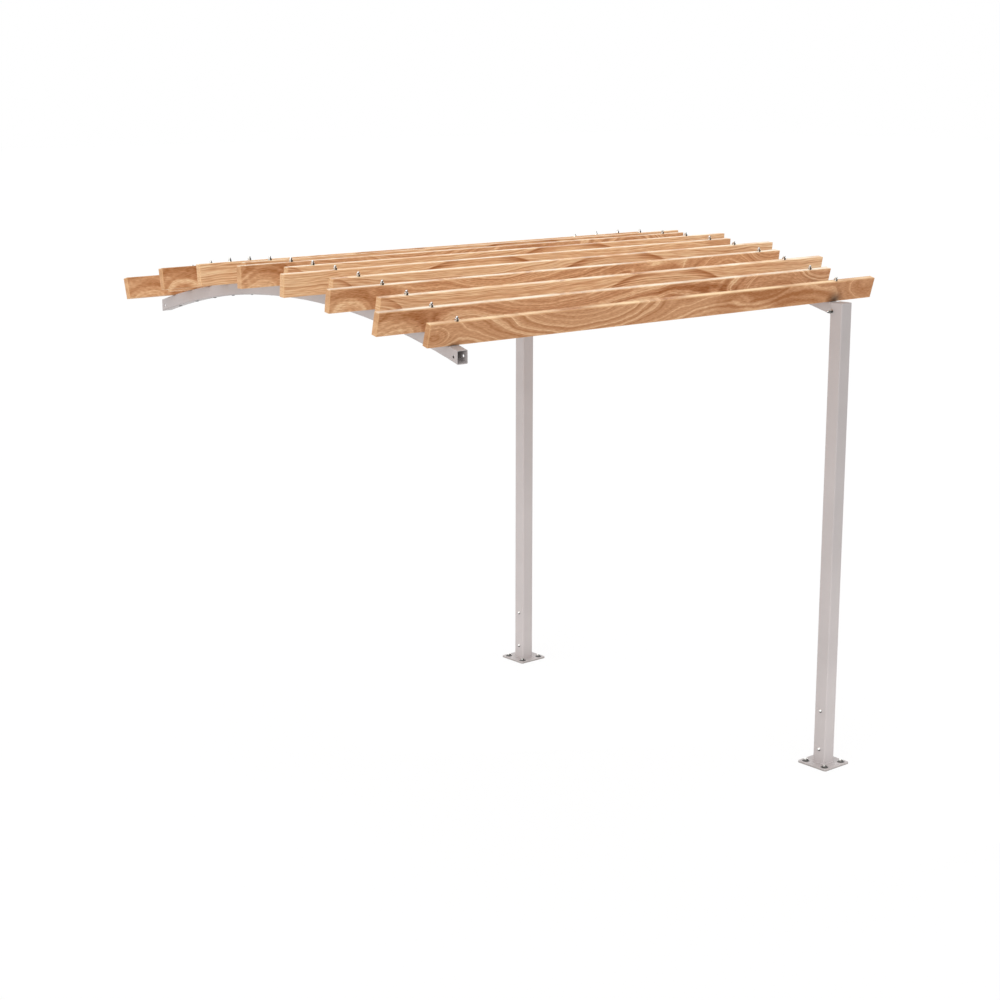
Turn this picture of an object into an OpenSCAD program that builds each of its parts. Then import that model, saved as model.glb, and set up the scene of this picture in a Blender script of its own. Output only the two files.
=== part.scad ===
// Extension bay of an arched steel and timber pergola.
// Two ground-bolted posts carry the right-hand arch; the left-hand arch has open ends that bolt to the next bay.
// Fourteen timber rafters stand on edge across both arches, each held by two through bolts.
// Frame: +Z up, front is -Y, rafters run along X. Origin: centre of the front post's base plate, on its underside.

/* [Bay] */
// Distance between the planes of the two arches
bay_len = 2550; // [2000:10:3000]
// Distance between the centres of the two posts
post_gauge = 2535; // [2000:5:3200]

/* [Arches] */
// Radius of the arch's underside
arch_r_in = 4500; // [3500:50:6000]
// Outside width and depth of the arch tube
arch_tube = 60; // [50:5:80]
// Wall of the arch tube
arch_wall = 3; // [2:0.5:5]
// Outside corner radius of the arch tube
arch_corner = 5; // [3:0.5:8]
// Distance by which an arch's end stops short of the post's centre
arch_end_gap = 3; // [0:0.5:20]
// Distance of the cross bolt hole from the end of the arch
cross_hole_in = 27; // [20:1:40]
// Height of the cross bolt hole's centre above the arch's underside
cross_hole_up = 24.5; // [18:0.5:40]
// Diameter of the cross bolt hole
cross_hole_d = 13; // [11:0.5:17]

/* [Rafters] */
// Number of rafters
rafter_count = 14; // [14:1:14]
// Height of a rafter
rafter_h = 110; // [80:1:150]
// Thickness of a rafter
rafter_t = 36; // [22:1:50]
// Rounding of a rafter's long and end edges
rafter_round = 4; // [1:0.5:6]
// Overhang of a rafter past the arch plane at its short end
overhang_short = 156; // [100:1:225]
// Overhang of a rafter past the other arch plane at its long end
overhang_long = 302; // [225:1:400]
// Distance of the front rafter's foot from the front post's inner face
first_rafter_in = 33; // [24:1:120]
// Distance of the back rafter's foot from the back post's inner face
last_rafter_in = 87; // [24:1:160]
// Diameter of the hole for a rafter bolt, through rafter and arch
rafter_hole_d = 11; // [9:0.5:15]

/* [Posts] */
// Outside width of a post tube
post_w = 80; // [70:5:120]
// Wall of a post tube
post_wall = 3; // [2:0.5:5]
// Outside corner radius of a post tube
post_corner = 6; // [3:0.5:8]
// Height of the top of the post cap above the ground
post_top_z = 2550; // [2200:1:2900]
// Thickness of the welded post cap
cap_t = 3; // [2:0.5:5]
// Step of the cap's edge inside the post's outside face
cap_step = 1; // [0.5:0.1:2]
// Clearance of the arch in the post's slot, at its sides and below
slot_clear = 0.5; // [0:0.1:2]
// Clearance between the arch and the post cap, at the post's inner face
cap_clear = 1.5; // [0.5:0.5:10]

/* [Base plates] */
// Side of a base plate
plate_w = 200; // [150:5:300]
// Thickness of a base plate
plate_t = 10; // [6:1:15]
// Corner radius of a base plate
plate_corner = 12; // [5:1:30]
// Distance between neighbouring anchors
anchor_pitch = 135; // [100:5:200]
// Diameter of an anchor hole
anchor_hole_d = 14; // [10:1:18]

/* [Rafter bolts] */
// Shank diameter of a rafter bolt
rafter_bolt_d = 10; // [8:1:14]
// Diameter of a rafter bolt's low domed head, under the arch
rafter_head_d = 22; // [16:1:28]
// Height of a rafter bolt's head
rafter_head_h = 4; // [2:0.5:8]
// Width across the flats of a rafter bolt's dome nut
rafter_nut_s = 17; // [14:1:24]
// Height of the hexagon of a rafter bolt's dome nut
rafter_hex_h = 9; // [6:0.5:12]
// Diameter of the dome of a rafter bolt's nut
rafter_dome_d = 12; // [10:0.5:14]
// Overall height of a rafter bolt's dome nut
rafter_nut_h = 21; // [18:0.5:28]
// Diameter of a rafter bolt's washer
rafter_washer_d = 20; // [16:1:26]
// Thickness of a rafter bolt's washer
rafter_washer_t = 2; // [1:0.5:3]

/* [Cross bolts] */
// Shank diameter of a cross bolt
cross_bolt_d = 12; // [10:1:16]
// Width across the flats of a cross bolt's head and nut
cross_nut_s = 19; // [16:1:24]
// Height of a cross bolt's head
cross_head_h = 7.5; // [6:0.5:12]
// Height of the hexagon of a cross bolt's dome nut
cross_hex_h = 12; // [8:0.5:16]
// Diameter of the dome of a cross bolt's nut
cross_dome_d = 15; // [12:0.5:16]
// Overall height of a cross bolt's long dome nut
cross_nut_h = 33; // [20:0.5:40]
// Diameter of a cross bolt's washer
cross_washer_d = 24; // [20:1:28]
// Thickness of a cross bolt's washer
cross_washer_t = 2.5; // [1.5:0.5:4]

/* [Anchors] */
// Diameter of an anchor
anchor_d = 12; // [10:1:13]
// Diameter of an anchor's domed washer at its foot
anchor_washer_d = 42; // [30:1:48]
// Diameter of the domed washer at its top
anchor_washer_top = 24; // [20:1:30]
// Height of the domed washer
anchor_washer_h = 5; // [2:0.5:8]
// Width across the flats of an anchor's nut
anchor_nut_s = 19; // [17:1:24]
// Height of an anchor's nut
anchor_nut_h = 8; // [6:0.5:12]
// Length of anchor that stands out of its nut
anchor_end = 2; // [0:0.5:10]

/* [Side screws] */
// Shank diameter of a side screw
side_screw_shank = 10; // [6:1:12]
// Head diameter of a side screw
side_screw_d = 21; // [14:1:28]
// Height of a side screw's domed head
side_screw_h = 8; // [4:0.5:12]
// Length of a side screw under its head
side_screw_len = 16; // [8:1:30]
// Height of the lower side screw above the ground
side_screw_z1 = 89; // [40:1:150]
// Height of the upper side screw above the ground
side_screw_z2 = 310; // [200:1:400]

/* [Hidden] */
$fn = 96;
eps = 0.01;
arch_r_out = arch_r_in + arch_tube;
arch_r_mid = arch_r_in + arch_tube / 2;
y_mid = post_gauge / 2;
x_left = -bay_len;
// From the arch's centre line to the inner faces of the posts, and to its own ends
inner_y = y_mid - post_w / 2;
arch_half = y_mid - arch_end_gap;
// The arch's centre lies where its top just clears the caps at the posts' inner faces.
arch_cz = post_top_z - cap_t - cap_clear - sqrt(pow(arch_r_out, 2) - pow(inner_y, 2));
arch_half_angle = asin(arch_half / arch_r_in) + 1;
cross_y = arch_half - cross_hole_in;
cross_z = arch_cz + sqrt(pow(arch_r_in, 2) - pow(cross_y, 2)) + cross_hole_up;
slot_z = arch_cz + sqrt(pow(arch_r_in, 2) - pow(inner_y + post_wall, 2)) - slot_clear;
post_h = post_top_z - cap_t - plate_t;
rafter_len = bay_len + overhang_short + overhang_long;
angle_first = asin((inner_y - first_rafter_in) / arch_r_out);
angle_last = asin((inner_y - last_rafter_in) / arch_r_out);
rafter_pitch = (angle_first + angle_last) / (rafter_count - 1);
steel = [0.74, 0.71, 0.70];
timber = [0.80, 0.62, 0.46];
zinc = [0.80, 0.80, 0.79];

// ---------- helpers ----------
module round_rect(a, b, r) {
  square([a - 2 * r, b], center = true);
  square([a, b - 2 * r], center = true);
  for (sx = [-1, 1], sy = [-1, 1]) translate([sx * (a / 2 - r), sy * (b / 2 - r)]) circle(r);
}

module tube_section(w, wall, r) {
  difference() {
    round_rect(w, w, r);
    round_rect(w - 2 * wall, w - 2 * wall, r - wall);
  }
}

// Puts its children at an angle across the arch, with Z = 0 at the arch's centre and Z along the radius.
module on_arch(angle) {
  translate([0, y_mid, arch_cz]) rotate([-angle, 0, 0]) children();
}

// Hexagon of the given width across its flats.
module hex(s, h) {
  cylinder(d = s / cos(30), h = h, $fn = 6);
}

// Dome nut standing on Z = 0: hexagon, then a narrower round dome.
module dome_nut(s, h_hex, dome_d, h_all) {
  r = dome_d / 2;
  hex(s, h_hex);
  cylinder(r = r, h = h_all - r);
  translate([0, 0, h_all - r]) intersection() {
    sphere(r);
    translate([-r, -r, 0]) cube([dome_d, dome_d, r]);
  }
}

// Low domed head standing on Z = 0.
module domed_head(d, h) {
  r = (d * d / 4 + h * h) / (2 * h);
  intersection() {
    translate([0, 0, h - r]) sphere(r);
    cylinder(d = d, h = h);
  }
}

// Shank along Z from 0 to grip, then a washer and a dome nut.
module shank_and_nut(d, grip, washer_d, washer_t, s, hex_h, dome_d, nut_h) {
  cylinder(d = d, h = grip + washer_t + hex_h / 2);
  translate([0, 0, grip]) cylinder(d = washer_d, h = washer_t);
  translate([0, 0, grip + washer_t]) dome_nut(s, hex_h, dome_d, nut_h);
}

function rafter_angle(i) = -angle_first + (i - 1) * rafter_pitch;
function rafter_x0(i) = x_left - (i % 2 == 1 ? overhang_short : overhang_long);

// ---------- sub-parts ----------
module base_plate(y0) {
  color(steel) translate([0, y0, 0]) difference() {
    linear_extrude(plate_t) round_rect(plate_w, plate_w, plate_corner);
    for (sx = [-1, 1], sy = [-1, 1])
      translate([sx * anchor_pitch / 2, sy * anchor_pitch / 2, -1]) cylinder(d = anchor_hole_d, h = plate_t + 2);
  }
}

// side is +1 where the arch comes in from +Y, -1 where it comes in from -Y.
module post(y0, side) {
  inner_wall = y0 + side * (post_w / 2 - post_wall / 2);
  color(steel) difference() {
    translate([0, y0, plate_t]) linear_extrude(post_h) tube_section(post_w, post_wall, post_corner);
    translate([0, inner_wall, slot_z + post_top_z / 2])
      cube([arch_tube + 2 * slot_clear, 2 * post_wall, post_top_z], center = true);
    translate([0, y_mid - side * cross_y, cross_z]) rotate([0, 90, 0])
      cylinder(d = cross_hole_d, h = 2 * post_w, center = true);
    for (z = [side_screw_z1, side_screw_z2]) translate([-post_w / 2, y0, z]) rotate([0, 90, 0])
      cylinder(d = side_screw_shank, h = 4 * post_wall, center = true);
  }
}

module post_cap(y0) {
  w = post_w - 2 * cap_step;
  color(steel) translate([0, y0, post_top_z - cap_t]) linear_extrude(cap_t) round_rect(w, w, post_corner - cap_step);
}

module arch(x0) {
  color(steel) difference() {
    intersection() {
      translate([x0, y_mid, arch_cz]) rotate([90, 0, 90]) rotate([0, 0, 90 - arch_half_angle])
        rotate_extrude(angle = 2 * arch_half_angle, $fn = 720) translate([arch_r_mid, 0])
          tube_section(arch_tube, arch_wall, arch_corner);
      translate([x0, y_mid, arch_cz + arch_r_mid]) cube([2 * arch_tube, 2 * arch_half, arch_r_mid], center = true);
    }
    for (s = [-1, 1]) translate([x0, y_mid + s * cross_y, cross_z]) rotate([0, 90, 0])
      cylinder(d = cross_hole_d, h = 2 * arch_tube, center = true);
    for (i = [1:rafter_count]) on_arch(rafter_angle(i)) translate([x0, 0, arch_r_mid])
      cylinder(d = rafter_hole_d, h = 2 * arch_tube, center = true);
  }
}

module rafter(i) {
  color(timber) on_arch(rafter_angle(i)) difference() {
    translate([rafter_x0(i) + rafter_len / 2, 0, arch_r_out + rafter_h / 2]) intersection() {
      rotate([90, 0, 90]) linear_extrude(rafter_len, center = true) round_rect(rafter_t, rafter_h, rafter_round);
      linear_extrude(rafter_h, center = true) round_rect(rafter_len, rafter_t, rafter_round);
      rotate([90, 0, 0]) linear_extrude(rafter_t, center = true) round_rect(rafter_len, rafter_h, rafter_round);
    }
    for (x = [x_left, 0]) translate([x, 0, arch_r_out + rafter_h / 2])
      cylinder(d = rafter_hole_d, h = 2 * rafter_h, center = true);
  }
}

module rafter_bolts(i) {
  color(zinc) on_arch(rafter_angle(i)) for (x = [x_left, 0]) translate([x, 0, arch_r_in]) union() {
    mirror([0, 0, 1]) domed_head(rafter_head_d, rafter_head_h);
    shank_and_nut(rafter_bolt_d, arch_tube + rafter_h, rafter_washer_d, rafter_washer_t,
      rafter_nut_s, rafter_hex_h, rafter_dome_d, rafter_nut_h);
  }
}

module cross_bolt(y0) {
  color(zinc) translate([post_w / 2, y0, cross_z]) rotate([0, -90, 0]) union() {
    translate([0, 0, -cross_washer_t - cross_head_h]) hex(cross_nut_s, cross_head_h);
    translate([0, 0, -cross_washer_t]) cylinder(d = cross_washer_d, h = cross_washer_t);
    shank_and_nut(cross_bolt_d, post_w, cross_washer_d, cross_washer_t,
      cross_nut_s, cross_hex_h, cross_dome_d, cross_nut_h);
  }
}

module anchors(y0) {
  color(zinc) for (sx = [-1, 1], sy = [-1, 1])
    translate([sx * anchor_pitch / 2, y0 + sy * anchor_pitch / 2, 0]) union() {
      cylinder(d = anchor_d, h = plate_t + anchor_washer_h + anchor_nut_h + anchor_end);
      translate([0, 0, plate_t]) cylinder(d1 = anchor_washer_d, d2 = anchor_washer_top, h = anchor_washer_h);
      translate([0, 0, plate_t + anchor_washer_h]) hex(anchor_nut_s, anchor_nut_h);
    }
}

// Domed heads on the left side of the post, each with its shank through the post's wall.
module side_screws(y0) {
  color(zinc) for (z = [side_screw_z1, side_screw_z2])
    translate([-post_w / 2, y0, z]) rotate([0, -90, 0]) union() {
      domed_head(side_screw_d, side_screw_h);
      translate([0, 0, -side_screw_len]) cylinder(d = side_screw_shank, h = side_screw_len + side_screw_h / 2);
    }
}

// ---------- drawing ----------
base_plate(0);  // front_base_plate
base_plate(post_gauge);  // back_base_plate
post(0, 1);  // front_post
post(post_gauge, -1);  // back_post
post_cap(0);  // front_post_cap
post_cap(post_gauge);  // back_post_cap
arch(x_left);  // left_arch
arch(0);  // right_arch
rafter(1);  // rafter_01
rafter(2);  // rafter_02
rafter(3);  // rafter_03
rafter(4);  // rafter_04
rafter(5);  // rafter_05
rafter(6);  // rafter_06
rafter(7);  // rafter_07
rafter(8);  // rafter_08
rafter(9);  // rafter_09
rafter(10);  // rafter_10
rafter(11);  // rafter_11
rafter(12);  // rafter_12
rafter(13);  // rafter_13
rafter(14);  // rafter_14
rafter_bolts(1);  // rafter_bolts_01
rafter_bolts(2);  // rafter_bolts_02
rafter_bolts(3);  // rafter_bolts_03
rafter_bolts(4);  // rafter_bolts_04
rafter_bolts(5);  // rafter_bolts_05
rafter_bolts(6);  // rafter_bolts_06
rafter_bolts(7);  // rafter_bolts_07
rafter_bolts(8);  // rafter_bolts_08
rafter_bolts(9);  // rafter_bolts_09
rafter_bolts(10);  // rafter_bolts_10
rafter_bolts(11);  // rafter_bolts_11
rafter_bolts(12);  // rafter_bolts_12
rafter_bolts(13);  // rafter_bolts_13
rafter_bolts(14);  // rafter_bolts_14
cross_bolt(y_mid - cross_y);  // front_cross_bolt
cross_bolt(y_mid + cross_y);  // back_cross_bolt
anchors(0);  // front_anchors
anchors(post_gauge);  // back_anchors
side_screws(0);  // front_side_screws
side_screws(post_gauge);  // back_side_screws
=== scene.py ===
# %% [markdown]
# # An arched pergola bay in steel and timber
# This lesson finishes one bay of a pergola. The real object is two square steel posts on
# bolted feet, two bent steel tubes and fourteen timber rafters on edge, held by long bolts.
# Its solids come from a CAD model with their true sizes, so the work here is mostly finish:
# grain that flows differently in every board, powder coat, bright zinc, and weld beads.

import math
import bpy
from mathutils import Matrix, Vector


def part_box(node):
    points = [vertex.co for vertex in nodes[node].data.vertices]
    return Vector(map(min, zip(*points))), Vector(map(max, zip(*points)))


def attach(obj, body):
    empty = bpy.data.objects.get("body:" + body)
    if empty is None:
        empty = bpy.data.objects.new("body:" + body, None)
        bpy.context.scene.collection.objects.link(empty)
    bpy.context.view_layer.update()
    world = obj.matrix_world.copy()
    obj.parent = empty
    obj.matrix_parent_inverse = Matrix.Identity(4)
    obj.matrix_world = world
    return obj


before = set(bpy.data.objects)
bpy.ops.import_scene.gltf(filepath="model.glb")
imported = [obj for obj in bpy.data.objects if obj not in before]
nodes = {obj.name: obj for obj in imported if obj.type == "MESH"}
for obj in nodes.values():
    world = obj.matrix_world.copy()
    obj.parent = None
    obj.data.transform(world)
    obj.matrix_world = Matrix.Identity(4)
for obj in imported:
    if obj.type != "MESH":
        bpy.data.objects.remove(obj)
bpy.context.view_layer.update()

# %% [markdown]
# A material is a small tree of nodes. One helper adds a node, fills its inputs and links it,
# so that a tree reads as a list of steps. Another turns a screen colour, written in hex, into
# the linear numbers that the renderer mixes light with.

# %% Helpers for node trees
def linear(hex_colour):
    """An sRGB hex colour as linear RGBA."""
    shares = [int(hex_colour[i : i + 2], 16) / 255 for i in (1, 3, 5)]
    return (*[s / 12.92 if s <= 0.04045 else ((s + 0.055) / 1.055) ** 2.4 for s in shares], 1.0)


def add(tree, kind, inputs={}, stops=(), **settings):
    """Adds a node and returns it. inputs maps an input's name or number to a value, a socket,
    or a node, whose first output is then used. stops are a colour ramp's places and colours."""
    node = tree.nodes.new(kind)
    for name, value in settings.items():
        setattr(node, name, value)
    for key, value in inputs.items():
        if isinstance(value, bpy.types.Node):
            value = value.outputs[0]
        if isinstance(value, bpy.types.NodeSocket):
            tree.links.new(value, node.inputs[key])
        else:
            node.inputs[key].default_value = value
    for number, (place, colour) in enumerate(stops):
        elements = node.color_ramp.elements
        element = elements[number] if number < 2 else elements.new(1.0)
        element.position = place
        element.color = linear(colour) if isinstance(colour, str) else (colour, colour, colour, 1)
    return node


def blank_material(name):
    """A material without nodes, and its tree."""
    material = bpy.data.materials.new(name)
    material.use_nodes = True
    material.node_tree.nodes.clear()
    return material, material.node_tree


print("100 % white is", linear("#FFFFFF"), "and half grey is", linear("#808080"))

# %% [markdown]
# ## Camera
# The bay is seen past its open front left corner, from a little above head height, through a
# longish lens, so that the rafters keep nearly the same size from front to back.

# %% Camera
scene = bpy.context.scene
camera = bpy.data.objects.new("camera", bpy.data.cameras.new("camera"))
scene.collection.objects.link(camera)
scene.camera = camera
camera.data.sensor_width = 36.0
camera.data.lens = 68.6
camera.data.clip_end = 300.0
camera.location = (-7.784, -6.4685, 3.7375)
camera.rotation_euler = (math.radians(77.285), 0.0, math.radians(-40.104))
print("camera distance to the front post:", round(camera.location.length, 2), "m")

# %% [markdown]
# ## Light
# A product studio is close to a white room: light comes almost evenly from every side, and
# that is why pale paint and timber show their own colours. The wall in front of the bay is a
# little darker than the others, which sets the front faces apart from the sides. The camera
# and reflections see the whole room as plain white. Light Path tells those rays from the
# light that only bounces about.

# %% White room
FRONT_WALL = -0.40  # how much darker the middle of the front wall is


def seen_directly(tree):
    """1 for rays from the camera, off mirrors and through glass, and 0 for bouncing light."""
    path = add(tree, "ShaderNodeLightPath")
    seen = path.outputs["Is Camera Ray"]
    for kind in ("Is Glossy Ray", "Is Transmission Ray"):
        seen = add(tree, "ShaderNodeMath", {0: seen, 1: path.outputs[kind]}, operation="MAXIMUM")
    return seen


scene.view_settings.view_transform = "Standard"
world = bpy.data.worlds.new("white_room")
scene.world = world
world.use_nodes = True
sky = world.node_tree
sky.nodes.clear()
towards = add(sky, "ShaderNodeTexCoord").outputs["Generated"]
front = add(sky, "ShaderNodeVectorMath", {0: towards, 1: (0.0, -1.0, 0.0)}, operation="DOT_PRODUCT")
front = add(sky, "ShaderNodeMath", {0: front.outputs["Value"], 1: 0.0}, operation="MAXIMUM")
light = add(sky, "ShaderNodeMath", {0: front, 1: FRONT_WALL, 2: 1.0}, operation="MULTIPLY_ADD")
strength = add(sky, "ShaderNodeMath", {0: light, 1: seen_directly(sky)}, operation="MAXIMUM")
surround = add(sky, "ShaderNodeBackground", {"Color": (1, 1, 1, 1), "Strength": strength})
add(sky, "ShaderNodeOutputWorld", {"Surface": surround})
print("light from the front wall:", 1.0 + FRONT_WALL, "of the other walls")

# %% [markdown]
# Two soft lamps, one high and one low on the left, model the shapes, and a third keeps the
# far side alive. A small lamp near each foot lifts the lower part of the posts. The camera
# doesn't see these two, nor do reflections.

# %% Lamps
# The soft lamps: direction and strength.
SUNS = {
    "high_lamp": ((0.25, 0.10, -1.0), 0.32),
    "low_left_lamp": ((0.85, 0.36, -0.15), 0.80),
    "back_lamp": ((-0.6, -0.8, -0.3), 0.12),
}
SUN_SPREAD = math.radians(30)
# The lamps at the feet: place, direction and power in watts.
FOOT_LAMPS = {
    "front_foot_lamp": ((-0.25, -1.3, 0.2), (0.2, 1.0, 0.1), 6.5),
    "back_foot_lamp": ((-1.0, 1.1, 0.3), (0.7, 1.0, 0.1), 8.0),
}
FOOT_LAMP_SIDE = 0.6


def lamp_towards(name, kind, direction, energy):
    """A lamp that shines along the direction."""
    lamp = bpy.data.objects.new(name, bpy.data.lights.new(name, kind))
    lamp.data.energy = energy
    lamp.rotation_euler = Vector(direction).to_track_quat("-Z", "Y").to_euler()
    scene.collection.objects.link(lamp)
    return lamp


for name, (direction, energy) in SUNS.items():
    lamp_towards(name, "SUN", direction, energy).data.angle = SUN_SPREAD
for name, (place, direction, energy) in FOOT_LAMPS.items():
    lamp = lamp_towards(name, "AREA", direction, energy)
    lamp.location = place
    lamp.data.size = FOOT_LAMP_SIDE
    lamp.visible_camera = False
    lamp.visible_glossy = False
print("lamps:", len(SUNS) + len(FOOT_LAMPS))

# %% [markdown]
# The floor is a plain pale sheet. To the camera it glows almost white, so that it merges with
# the white room and only a breath of shadow is left on it. To the light that bounces off it,
# it is ordinary pale lino, which is what brightens the undersides of the boards.

# %% Floor
FLOOR_REACH = 80.0
floor_mesh = bpy.data.meshes.new("floor")
corners = [(x * FLOOR_REACH, y * FLOOR_REACH, 0) for x, y in ((-1, -1), (1, -1), (1, 1), (-1, 1))]
floor_mesh.from_pydata(corners, [], [(0, 1, 2, 3)])
floor = bpy.data.objects.new("floor", floor_mesh)
scene.collection.objects.link(floor)
floor_material, tree = blank_material("pale_studio_lino")
bounce = add(tree, "ShaderNodeBsdfDiffuse", {"Color": (0.72, 0.71, 0.70, 1)})
shade = add(tree, "ShaderNodeBsdfDiffuse", {"Color": (0.10, 0.10, 0.10, 1)})
glow = add(tree, "ShaderNodeEmission", {"Color": (1, 1, 1, 1), "Strength": 0.9})
white = add(tree, "ShaderNodeAddShader", {0: shade, 1: glow})
both = add(tree, "ShaderNodeMixShader", {0: seen_directly(tree), 1: bounce, 2: white})
add(tree, "ShaderNodeOutputMaterial", {"Surface": both})
floor_mesh.materials.append(floor_material)
print("floor:", floor.name, "side", 2 * FLOOR_REACH, "m")

# %% [markdown]
# ## Where each board lies
# The rafters stand like the staves of a barrel round the centre of the arches. Three board
# centres give that circle, and the circle gives each board its lean. With its centre and its
# lean, a board's grain can be drawn in the board's own directions: along, through and up.

# %% Board frames
BOARDS = sorted(name for name in nodes if name.startswith("rafter_") and "bolts" not in name)


def middle(name):
    """The centre of a node's box."""
    low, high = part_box(name)
    return (Vector(low) + Vector(high)) / 2


def circle_centre(points):
    """The centre of the circle through three points in a plane."""
    (ax, ay), (bx, by), (cx, cy) = points
    twice = 2 * (ax * (by - cy) + bx * (cy - ay) + cx * (ay - by))
    sa, sb, sc = ax * ax + ay * ay, bx * bx + by * by, cx * cx + cy * cy
    return ((sa * (by - cy) + sb * (cy - ay) + sc * (ay - by)) / twice,
            (sa * (cx - bx) + sb * (ax - cx) + sc * (bx - ax)) / twice)


arch_y, arch_z = circle_centre([middle(BOARDS[k])[1:] for k in (0, len(BOARDS) // 2, -1)])
print("arch centre:", round(arch_y, 4), round(arch_z, 4))

# %% [markdown]
# A leaning board fills a larger box than its own section. The board that leans least gives
# the section back most exactly.

# %% Board sizes
def lean(name):
    """How far a board leans from upright towards +Y, in radians."""
    centre = middle(name)
    return math.atan2(centre[1] - arch_y, centre[2] - arch_z)


flattest = min(BOARDS, key=lambda name: abs(lean(name)))
low, high = (Vector(corner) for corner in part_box(flattest))
LENGTH, wide, tall = high - low
c, s = math.cos(lean(flattest)), abs(math.sin(lean(flattest)))
HEIGHT = (tall * c - wide * s) / (c * c - s * s)
THICK = (wide * c - tall * s) / (c * c - s * s)
print("board:", [round(side, 4) for side in (LENGTH, THICK, HEIGHT)], "m")

# %% [markdown]
# ## Timber
# The rafters are planed tropical hardwood with a matt oil. Where the saw cuts through a
# growth ring at a shallow angle, the ring comes out as a tall pointed arch, a bowl or an
# eye. That is drawn with one height field over the board: it rises slowly from edge to edge,
# and each swell in the log adds a smooth hill. Contour lines of the field are the growth
# rings, broad bands of it are darker or paler wood, and fine dashes along it are the pores.

# %% Grain
# Where on the side of a swell its core and its rim lie, from its foot (0) to its top (1).
CORE = [(0.28, 0.0), (0.70, 1.0)]
WIDE_RIM = [(0.20, 0.0), (0.32, 1.0), (0.50, 1.0), (0.60, 0.0)]
NARROW_RIM = [(0.32, 0.0), (0.345, 1.0), (0.40, 0.45), (0.48, 0.0)]
# Boards with rings far apart have short bent pores, boards with close rings long straight
# ones. Each grain has its mean tone, how far waves bend the rings (in rings), how strong ring
# lines and pores are, how far the pores follow the bends, and the pores per metre of board.
WIDE_GRAIN = {"mean": 0.412, "waves": 2.2, "lines": 0.42, "pores": 0.9, "follow": 0.00015,
              "pores_along": 36.0, "rim": WIDE_RIM}
CLOSE_GRAIN = {"mean": 0.43, "waves": 3.5, "lines": 0.30, "pores": 1.15, "follow": 0.0006,
               "pores_along": 12.0, "rim": NARROW_RIM}
# A line of pale wood ends each ring. The places run from the ring's inner side (0) to its
# outer side (1).
RING = [(0.0, 0.2), (0.15, 0.0), (0.60, 0.15), (0.80, 0.8), (0.90, 1.0), (1.0, 0.2)]
SLOW_TONE = 0.8  # how strongly the tone changes from ring to ring

# %% Figures in the timber
# A figure is the distance between rings in straight grain (mm), its grain and its swells. A
# swell is: distance from the left end, height above the lower edge, half length, half height
# (all mm), the rings that it adds, and how much paler its core and its rim are.
FIGURES = {
    "eye_and_lens": (90, WIDE_GRAIN, [
        (30, 40, 95, 48, 3, 0.0, 0.0), (840, 150, 300, 80, 1, -0.14, 0.0),
        (900, 125, 560, 190, 8, 0.0, 0.0), (2140, 78, 370, 100, 1, -0.38, 0.0),
        (1985, 62, 90, 34, 0, 0.30, 0.0), (2110, 10, 160, 44, 0, 0.32, 0.0),
        (2480, 40, 160, 45, 0, -0.12, 0.0), (2720, 40, 330, 100, 0, -0.12, 0.0),
        (2960, 30, 260, 130, 3, 0.0, 0.0)]),
    "arch_and_bowl": (60, WIDE_GRAIN, [
        (60, -60, 324, 180, 1, 0.0, -0.24), (125, -35, 260, 120, 5, 0.06, 0.0),
        (1017, 150, 520, 140, 5, 0.0, 0.0), (1017, 150, 230, 60, 4, 0.0, 0.0),
        (1850, 80, 170, 45, 0, -0.22, 0.0), (2120, -15, 205, 90, 3, 0.08, -0.28),
        (2600, 60, 250, 200, -3, 0.0, 0.0), (2925, 125, 150, 60, 4, 0.0, 0.0)]),
    "late_mountain": (14, CLOSE_GRAIN, [
        (-40, -10, 190, 122, -5, 0.0, -0.45), (700, 160, 420, 90, 4, 0.0, 0.0),
        (1805, -42, 450, 165, -8, 0.0, -0.65), (1810, -40, 170, 70, 0, -0.18, 0.0)]),
    "early_mountain": (14, CLOSE_GRAIN, [
        (1180, -42, 450, 165, -8, 0.0, -0.65), (1185, -40, 170, 70, 0, -0.18, 0.0),
        (2200, 150, 420, 90, 3, 0.0, 0.0), (2960, 130, 200, 90, 5, -0.2, 0.0)]),
}
# The figure of each board, and how much paler it is than the others: partly its own tone,
# partly painted light that lifts the boards shaded by their neighbours.
BOARD_FIGURES = {
    1: ("eye_and_lens", -0.02), 2: ("arch_and_bowl", 0.11), 3: ("late_mountain", 0.28),
    4: ("arch_and_bowl", 0.09), 5: ("late_mountain", 0.30), 6: ("early_mountain", 0.28),
    7: ("late_mountain", 0.28), 8: ("arch_and_bowl", 0.10), 9: ("late_mountain", 0.22),
    10: ("early_mountain", 0.26), 11: ("eye_and_lens", 0.10), 12: ("arch_and_bowl", 0.08),
    13: ("late_mountain", 0.22), 14: ("arch_and_bowl", 0.06),
}
print("figures:", {name: len(swells) for name, (_, _, swells) in FIGURES.items()})

# %% [markdown]
# A swell is a smooth round hill, much deeper than a board is thick, so that both faces of a
# board show nearly the same figure. From it come the rings, the broad tone and the pores.

# %% Swells
SWELL_DEPTH = 0.09  # half size through the board


def swell(tree, place, along, up, half_length, half_height):
    """1 at the centre of a swell, 0.37 at its half sizes, and 0 far away. Sizes in mm."""
    centre = (along / 1000 - LENGTH / 2, 0.0, up / 1000 - HEIGHT / 2)
    half = (half_length / 1000, SWELL_DEPTH, half_height / 1000)
    offset = add(tree, "ShaderNodeVectorMath", {0: place, 1: centre}, operation="SUBTRACT")
    share = add(tree, "ShaderNodeVectorMath", {0: offset, 1: half}, operation="DIVIDE")
    square = add(tree, "ShaderNodeVectorMath", {0: share, 1: share}, operation="DOT_PRODUCT")
    return add(tree, "ShaderNodeMath", {0: math.exp(-1), 1: square.outputs["Value"]},
               operation="POWER")


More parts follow.
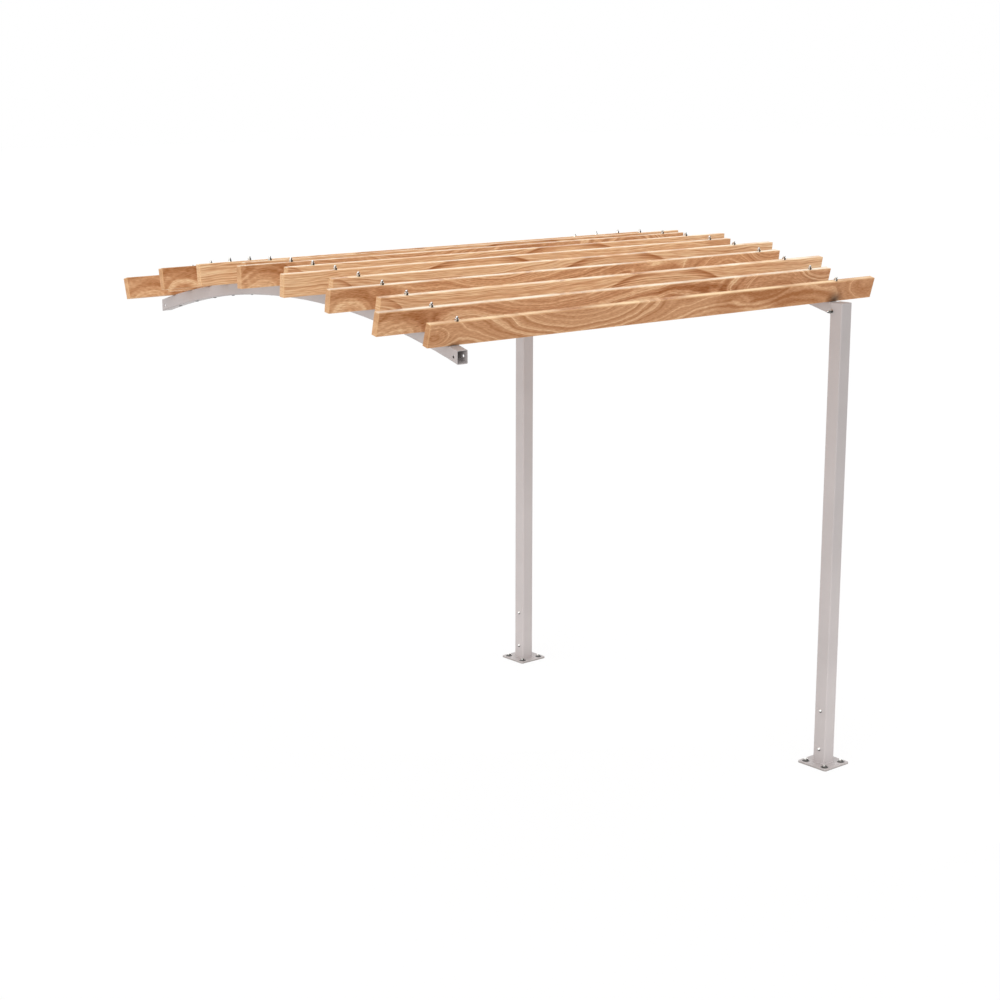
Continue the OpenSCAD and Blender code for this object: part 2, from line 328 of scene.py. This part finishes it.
# %% Rings and pores
def timber_figure(tree, place, number):
    """The wood's tone, from dark (0) to pale (1), with its waves, ring lines and pores."""
    figure, paler_and_painted_light = BOARD_FIGURES[number]
    spacing, grain, swells = FIGURES[figure]
    shift = (number * 1.37, number * 0.61, number * 0.43)
    axes = add(tree, "ShaderNodeSeparateXYZ", {0: place})
    # The height field, in rings: waves of some 300 mm by 150 mm, the swells, and the slope.
    stretched = add(tree, "ShaderNodeMapping", {"Vector": place, "Location": shift,
                                                "Scale": (3.3, 6.0, 6.7)})
    waves = add(tree, "ShaderNodeTexNoise", {"Vector": stretched, "Scale": 1.0, "Detail": 2.0,
                                             "Roughness": 0.45})
    bend = add(tree, "ShaderNodeMath", {0: waves, 1: grain["waves"]}, operation="MULTIPLY")
    # A board's paleness is partly its own tone and partly painted light for boards shaded by their
    # neighbours.
    tone = grain["mean"] + paler_and_painted_light - (SLOW_TONE + grain["pores"]) / 2
    for *where, rings, core, rim in swells:
        hill = swell(tree, place, *where)
        bend = add(tree, "ShaderNodeMath", {0: hill, 1: rings, 2: bend}, operation="MULTIPLY_ADD")
        for strength, stops in ((core, CORE), (rim, grain["rim"])):
            if strength:
                part = add(tree, "ShaderNodeValToRGB", {0: hill}, stops)
                tone = add(tree, "ShaderNodeMath", {0: part, 1: strength, 2: tone},
                           operation="MULTIPLY_ADD")
    field = add(tree, "ShaderNodeMath", {0: axes.outputs["Z"], 1: 1000 / spacing, 2: bend},
                operation="MULTIPLY_ADD")
    # Broad tone: slow from ring to ring.
    rings = add(tree, "ShaderNodeMath", {0: field, 1: 1.7, 2: number * 5.3},
                operation="MULTIPLY_ADD")
    slow = add(tree, "ShaderNodeTexNoise", {"W": rings, "Scale": 1.0, "Detail": 1.0},
               noise_dimensions="1D")
    # Growth rings: no two years are alike, so rings are of uneven width and some have almost
    # no line.
    uneven = add(tree, "ShaderNodeMath", {0: slow, 1: 1.5, 2: field}, operation="MULTIPLY_ADD")
    ring = add(tree, "ShaderNodeMath", {0: uneven}, operation="FRACT")
    line = add(tree, "ShaderNodeValToRGB", {0: ring}, RING)
    year = add(tree, "ShaderNodeMath", {0: uneven}, operation="FLOOR")
    growth = add(tree, "ShaderNodeTexWhiteNoise", {"W": year}, noise_dimensions="1D")
    line = add(tree, "ShaderNodeMath", {0: line, 1: growth}, operation="MULTIPLY")
    # Pores: dashes that bend with the rings, some 30 mm long and 3 mm wide, or 80 mm long in
    # close grain. They are drawn many times wider than real so that they show from here.
    flow = add(tree, "ShaderNodeMath", {0: bend, 1: spacing * grain["follow"],
                                        2: axes.outputs["Z"]}, operation="MULTIPLY_ADD")
    lie = add(tree, "ShaderNodeCombineXYZ", {0: axes.outputs["X"], 1: axes.outputs["Y"], 2: flow})
    narrow = add(tree, "ShaderNodeMapping", {"Vector": lie, "Location": shift,
                                             "Scale": (grain["pores_along"], 200.0, 320.0)})
    pores = add(tree, "ShaderNodeTexNoise", {"Vector": narrow, "Scale": 1.0, "Detail": 1.5,
                                             "Roughness": 0.55})
    for pattern, strength in ((slow, SLOW_TONE), (line, grain["lines"]), (pores, grain["pores"])):
        tone = add(tree, "ShaderNodeMath", {0: pattern, 1: strength, 2: tone},
                   operation="MULTIPLY_ADD")
    return tone, waves, line, pores


# %% [markdown]
# The rounded edges of the boards carry a painted highlight, paler than their faces, and their
# upper faces carry painted light and sheen from above. Both come from the place on the board
# alone: a point is near an edge when it lies close to two of the board's six faces at once.

# %% Edges
EDGE_MARGIN = 0.005  # how wide the painted edge highlight is
TOP_MARGIN = 0.014  # how far in from its long edges the painted light on the upper face is full


def near_faces(tree, place, margin):
    """For each axis, 1 on the board's own faces across it and 0 further in than the margin."""
    size = add(tree, "ShaderNodeVectorMath", {0: place}, operation="ABSOLUTE")
    inner = [side / 2 - margin for side in (LENGTH, THICK, HEIGHT)]
    depth = add(tree, "ShaderNodeVectorMath", {0: size, 1: inner}, operation="SUBTRACT")
    share = add(tree, "ShaderNodeVectorMath", {0: depth, 1: [margin] * 3}, operation="DIVIDE")
    above = add(tree, "ShaderNodeVectorMath", {0: share, 1: (0, 0, 0)}, operation="MAXIMUM")
    return add(tree, "ShaderNodeVectorMath", {0: above, 1: (1, 1, 1)}, operation="MINIMUM")


def ends_and_painted_light(tree, place, waves):
    """How far a point is on an end, on an edge with its painted highlight, and on the upper face
    with its painted light and sheen.
    """
    near = near_faces(tree, place, EDGE_MARGIN)
    across = add(tree, "ShaderNodeSeparateXYZ", {0: near})
    end = add(tree, "ShaderNodeMath", {0: across.outputs["X"], 1: 0.5}, operation="MULTIPLY")
    total = add(tree, "ShaderNodeVectorMath", {0: near, 1: (1, 1, 1)}, operation="DOT_PRODUCT")
    edge = add(tree, "ShaderNodeMath", {0: total.outputs["Value"], 1: 1.0}, operation="SUBTRACT",
               use_clamp=True)
    edge_highlight = add(tree, "ShaderNodeMath", {0: edge, 1: 0.5}, operation="MULTIPLY")
    height = add(tree, "ShaderNodeSeparateXYZ", {0: place}).outputs["Z"]
    above = add(tree, "ShaderNodeMath", {0: height, 1: 0.0}, operation="GREATER_THAN")
    top_sheen = add(tree, "ShaderNodeMath", {0: across.outputs["Z"], 1: above}, operation="MULTIPLY")
    side = add(tree, "ShaderNodeSeparateXYZ", {0: near_faces(tree, place, TOP_MARGIN)})
    inside = add(tree, "ShaderNodeMath", {0: side.outputs["Y"], 1: -1.0, 2: 1.0},
                 operation="MULTIPLY_ADD")
    # Painted light and sheen on the upper face, stronger in some broad patches than in others.
    sheen_patches = add(tree, "ShaderNodeMath", {0: waves, 1: 3.0, 2: -0.9}, operation="MULTIPLY_ADD",
                  use_clamp=True)
    for share in (inside, sheen_patches):
        top_sheen = add(tree, "ShaderNodeMath", {0: top_sheen, 1: share}, operation="MULTIPLY")
    top_sheen = add(tree, "ShaderNodeMath", {0: top_sheen, 1: 1.2}, operation="MULTIPLY",
                 use_clamp=True)
    return end, edge_highlight, top_sheen


# %% [markdown]
# The first board, in front, is a deeper brown at its end, and the painted light on its top is
# warmer. Two patches of painted shade darken its lower edge, where the steel below shades it:
# one over the left arch and one over the post.

# %% Oiled hardwood
FACE_COLOURS = [(0.0, "#A66632"), (0.5, "#D29B6F"), (0.78, "#EDBF92"), (1.0, "#FDDCB0")]
END_COLOURS = {1: "#B5885F"}
END_COLOUR = "#CEA377"
# Painted highlight on the rounded edges, and painted light and sheen on the upper faces.
EDGE_HIGHLIGHT_COLOUR = "#F0C48F"
TOP_SHEEN_BY_BOARD = {1: "#FFDDAE"}
TOP_SHEEN_COLOUR = "#FFF0D8"
# Painted shade where the steel below shades the front board.
PAINTED_SHADE_COLOUR = "#3A281C"
PAINTED_SHADE_STRENGTH = 0.85
# Painted shade by board: distance from the left end, height, half length, half height (mm).
PAINTED_SHADE_SPOTS = {1: [(150, -2, 34, 12), (2712, 10, 44, 34)]}


def oiled_hardwood(board):
    """Planed hardwood under matt oil: warm tan, ringed figure, fine pores, painted edge highlights,
    painted light on top, and patches of painted shade.
    """
    number = int(board[-2:])
    material, tree = blank_material("oiled_hardwood_" + board[-2:])
    # Turns and moves the pattern onto the board: X along it, Y through it, Z up it.
    coords = add(tree, "ShaderNodeTexCoord")
    place = add(tree, "ShaderNodeMapping", {"Vector": coords.outputs["Object"],
                                            "Location": middle(board),
                                            "Rotation": (-lean(board), 0, 0)},
                vector_type="TEXTURE")
    tone, waves, line, pores = timber_figure(tree, place, number)
    wood = add(tree, "ShaderNodeValToRGB", {0: tone}, FACE_COLOURS).outputs[0]
    end, edge_highlight, top_sheen = ends_and_painted_light(tree, place, waves)
    layers = [(end, END_COLOURS.get(number, END_COLOUR)), (edge_highlight, EDGE_HIGHLIGHT_COLOUR),
              (top_sheen, TOP_SHEEN_BY_BOARD.get(number, TOP_SHEEN_COLOUR))]
    # Painted shade: a dark patch on the lower edge, where the steel below shades the board.
    for shade_spot in PAINTED_SHADE_SPOTS.get(number, []):
        painted_shade = add(tree, "ShaderNodeMath", {0: swell(tree, place, *shade_spot), 1: PAINTED_SHADE_STRENGTH},
                   operation="MULTIPLY")
        layers.append((painted_shade, PAINTED_SHADE_COLOUR))
    for share, colour in layers:
        wood = add(tree, "ShaderNodeMix", {0: share, 6: wood, 7: linear(colour)},
                   data_type="RGBA").outputs[2]
    # Ring lines lie a little lower after planing, and pores break up the sheen.
    relief = add(tree, "ShaderNodeMath", {0: line, 1: -0.5, 2: pores}, operation="MULTIPLY_ADD")
    bump = add(tree, "ShaderNodeBump", {"Height": relief, "Strength": 0.25, "Distance": 0.0006})
    gloss = add(tree, "ShaderNodeMath", {0: pores, 1: -0.15, 2: 0.60}, operation="MULTIPLY_ADD")
    surface = add(tree, "ShaderNodeBsdfPrincipled", {
        "Base Color": wood, "Roughness": gloss, "Normal": bump, "IOR": 1.47,
        "Specular IOR Level": 0.3})
    add(tree, "ShaderNodeOutputMaterial", {"Surface": surface})
    return material


for board in BOARDS:
    nodes[board].data.materials.clear()
    nodes[board].data.materials.append(oiled_hardwood(board))
print("boards finished:", len(BOARDS))

# %% [markdown]
# ## Powder coat
# The steel is galvanised, then coated with baked polyester powder in a warm light grey. The
# coat is satin, with a faint orange-peel ripple a few millimetres across, and it lies a
# little thicker and paler here and there. The ripple is far too fine to read as a pattern
# at this distance, but it breaks up the reflections. The edges of the base plates carry
# painted shade, darker towards the bottom, almost up to their upper faces.

# %% Powder coat
COAT_COLOURS = [(0.3, "#B5AEAD"), (0.7, "#BFB8B7")]
# Painted shade on the base plates' edges, darker towards the bottom.
PLATE_EDGE_SHADE_COLOUR = "#857F7B"
EDGE_SHADE_TOP, EDGE_SHADE_FULL = 0.0085, 0.0075  # heights where the painted shade ends, and where it is full


def powder_coat():
    """Satin polyester powder on steel: even warm grey with a slight ripple, and painted shade low
    on the plates' edges.
    """
    material, tree = blank_material("powder_coated_steel")
    place = add(tree, "ShaderNodeTexCoord").outputs["Object"]
    cloud = add(tree, "ShaderNodeTexNoise", {"Vector": place, "Scale": 2.2, "Detail": 3.0})
    colour = add(tree, "ShaderNodeValToRGB", {0: cloud}, COAT_COLOURS).outputs[0]
    # Painted shade: darker towards the bottom of the plates' edges.
    height = add(tree, "ShaderNodeSeparateXYZ", {0: place}).outputs["Z"]
    low_shade = add(tree, "ShaderNodeMapRange", {
        "Value": height, "From Min": EDGE_SHADE_TOP, "From Max": EDGE_SHADE_FULL, "To Max": 0.6})
    colour = add(tree, "ShaderNodeMix", {0: low_shade, 6: colour, 7: linear(PLATE_EDGE_SHADE_COLOUR)},
                 data_type="RGBA").outputs[2]
    peel = add(tree, "ShaderNodeTexNoise", {"Vector": place, "Scale": 260.0})
    bump = add(tree, "ShaderNodeBump", {"Height": peel, "Strength": 0.12, "Distance": 0.0003})
    gloss = add(tree, "ShaderNodeMath", {0: cloud, 1: 0.15, 2: 0.36}, operation="MULTIPLY_ADD")
    surface = add(tree, "ShaderNodeBsdfPrincipled", {
        "Base Color": colour, "Roughness": gloss, "Normal": bump})
    add(tree, "ShaderNodeOutputMaterial", {"Surface": surface})
    return material


coat = powder_coat()
STEEL = [name for name in nodes if name.endswith(("_post", "_arch", "_plate", "_cap"))]
for name in STEEL:
    nodes[name].data.materials.clear()
    nodes[name].data.materials.append(coat)
print("steel pieces:", len(STEEL))

# %% [markdown]
# ## Weld beads
# Each post is welded to its base plate all round: a low bead, some 8 mm wide, that rises and
# falls with every drop of the welder, and is coated with the rest. A bead follows a path,
# so Geometry Nodes sweep it: a rounded square path, a round profile, and a swing in radius
# from point to point. The tree takes its sizes as named inputs.

# %% Weld tree
WELD_SIZES = [("Side", "NodeSocketFloat", 0.08), ("Corner", "NodeSocketFloat", 0.006),
              ("Bead", "NodeSocketFloat", 0.0045), ("Drops", "NodeSocketInt", 60)]
POINTS_PER_DROP = 6.0
MEAN_WIDTH, SWING = 0.95, 0.12  # the bead's radius and how much it swings, in Beads


def weld_tree(coat):
    """A bead swept round a rounded square: inputs Side, Corner, Bead and Drops."""
    tree = bpy.data.node_groups.new("weld_bead", "GeometryNodeTree")
    for name, kind, value in WELD_SIZES:
        socket = tree.interface.new_socket(name, in_out="INPUT", socket_type=kind)
        socket.default_value = value
    tree.interface.new_socket("Geometry", in_out="OUTPUT", socket_type="NodeSocketGeometry")
    sizes = tree.nodes.new("NodeGroupInput").outputs
    square = add(tree, "GeometryNodeCurvePrimitiveQuadrilateral", {
        "Width": sizes["Side"], "Height": sizes["Side"]})
    rounded = add(tree, "GeometryNodeFilletCurve", {
        "Curve": square, "Radius": sizes["Corner"], "Count": 4}, mode="POLY")
    points = add(tree, "ShaderNodeMath", {0: sizes["Drops"], 1: POINTS_PER_DROP},
                 operation="MULTIPLY")
    path = add(tree, "GeometryNodeResampleCurve", {"Curve": rounded, "Count": points},
               mode="COUNT")
    along = add(tree, "GeometryNodeSplineParameter")
    turns = add(tree, "ShaderNodeMath", {0: along.outputs["Factor"], 1: sizes["Drops"]},
                operation="MULTIPLY")
    angle = add(tree, "ShaderNodeMath", {0: turns, 1: math.tau}, operation="MULTIPLY")
    swing = add(tree, "ShaderNodeMath", {0: angle}, operation="SINE")
    width = add(tree, "ShaderNodeMath", {0: swing, 1: SWING, 2: MEAN_WIDTH},
                operation="MULTIPLY_ADD")
    shaped = add(tree, "GeometryNodeSetCurveRadius", {"Curve": path, "Radius": width})
    profile = add(tree, "GeometryNodeCurvePrimitiveCircle", {
        "Resolution": 10, "Radius": sizes["Bead"]})
    scale = add(tree, "GeometryNodeInputRadius")
    bead = add(tree, "GeometryNodeCurveToMesh", {
        "Curve": shaped, "Profile Curve": profile, "Scale": scale})
    real = add(tree, "GeometryNodeRealizeInstances", {"Geometry": bead})
    coated = add(tree, "GeometryNodeSetMaterial", {"Geometry": real, "Material": coat})
    add(tree, "NodeGroupOutput", {"Geometry": coated})
    return tree


# %% Beads at the posts' feet
BEAD_LIFT = 0.0012  # how far the middle of a bead lies above the plate
beads = weld_tree(coat)
sizes = {item.name: item.identifier for item in beads.interface.items_tree
         if item.in_out == "INPUT"}
for post, plate in (("front_post", "front_base_plate"), ("back_post", "back_base_plate")):
    low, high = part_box(post)
    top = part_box(plate)[1][2]
    carrier = bpy.data.objects.new(post + "_carrier", bpy.data.meshes.new(post + "_carrier"))
    scene.collection.objects.link(carrier)
    modifier = carrier.modifiers.new("weld", "NODES")
    modifier.node_group = beads
    modifier[sizes["Side"]] = high[0] - low[0]
    finished = carrier.evaluated_get(bpy.context.evaluated_depsgraph_get())
    mesh = bpy.data.meshes.new_from_object(finished)
    bpy.data.objects.remove(carrier)
    foot = Vector(((low[0] + high[0]) / 2, (low[1] + high[1]) / 2, top + BEAD_LIFT))
    for vertex in mesh.vertices:
        vertex.co += foot
    weld = bpy.data.objects.new(post + "_weld", mesh)
    scene.collection.objects.link(weld)
    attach(weld, "root")
    rise = max(vertex.co.z for vertex in mesh.vertices) - top
    print(weld.name, "vertices:", len(mesh.vertices), "rise:", round(rise, 4), "m")

# %% [markdown]
# ## Bright zinc
# Bolts, nuts and anchors are zinc-plated steel: a grey metal with a clear sheen. Its colour
# carries painted reflections: patches, cloudy from the passivating bath, drawn strong as bright
# glints and dark spots, and the upper and left faces painted bright, the others darker. The
# anchors' washers, which lie lowest, carry painted shade.

# %% Zinc plating
# Painted reflections: from dark spots to bright glints.
ZINC_GLINT_COLOURS = [(0.3, "#4A4946"), (1.0, "#F4F3F0")]
LIT_SIDE = (-0.6, 0.0, 0.8)
WASHER_SHADE_COLOUR = "#2B2A29"
WASHER_SHADE_TOP, WASHER_SHADE_FULL = 0.0156, 0.0150  # heights where the painted shade ends, and where it is full


def zinc_plating():
    """Zinc-plated steel: metal with painted glints and dark spots, painted bright on upper and left
    faces, darker on the others.
    """
    material, tree = blank_material("zinc_plated_steel")
    coords = add(tree, "ShaderNodeTexCoord").outputs
    cloud = add(tree, "ShaderNodeTexNoise", {"Vector": coords["Object"], "Scale": 90.0})
    # Painted reflection: faces turned up and to the left are painted bright, the others darker.
    painted_lit_side = add(tree, "ShaderNodeVectorMath", {0: coords["Normal"], 1: LIT_SIDE},
                 operation="DOT_PRODUCT")
    painted_lit_side = add(tree, "ShaderNodeMath", {0: cloud, 1: 0.5, 2: painted_lit_side.outputs["Value"]},
                 operation="MULTIPLY_ADD")
    colour = add(tree, "ShaderNodeValToRGB", {0: painted_lit_side}, ZINC_GLINT_COLOURS).outputs[0]
    # Painted shade on the anchors' washers, which lie lowest.
    height = add(tree, "ShaderNodeSeparateXYZ", {0: coords["Object"]}).outputs["Z"]
    low_shade = add(tree, "ShaderNodeMapRange", {
        "Value": height, "From Min": WASHER_SHADE_TOP, "From Max": WASHER_SHADE_FULL, "To Max": 0.9})
    colour = add(tree, "ShaderNodeMix", {0: low_shade, 6: colour, 7: linear(WASHER_SHADE_COLOUR)},
                 data_type="RGBA").outputs[2]
    gloss = add(tree, "ShaderNodeMath", {0: cloud, 1: 0.2, 2: 0.08}, operation="MULTIPLY_ADD")
    surface = add(tree, "ShaderNodeBsdfPrincipled", {
        "Base Color": colour, "Metallic": 1.0, "Roughness": gloss})
    add(tree, "ShaderNodeOutputMaterial", {"Surface": surface})
    return material


zinc = zinc_plating()
FASTENERS = [name for name in nodes if name not in BOARDS and name not in STEEL]
for name in FASTENERS:
    nodes[name].data.materials.clear()
    nodes[name].data.materials.append(zinc)
print("fastener nodes:", len(FASTENERS))
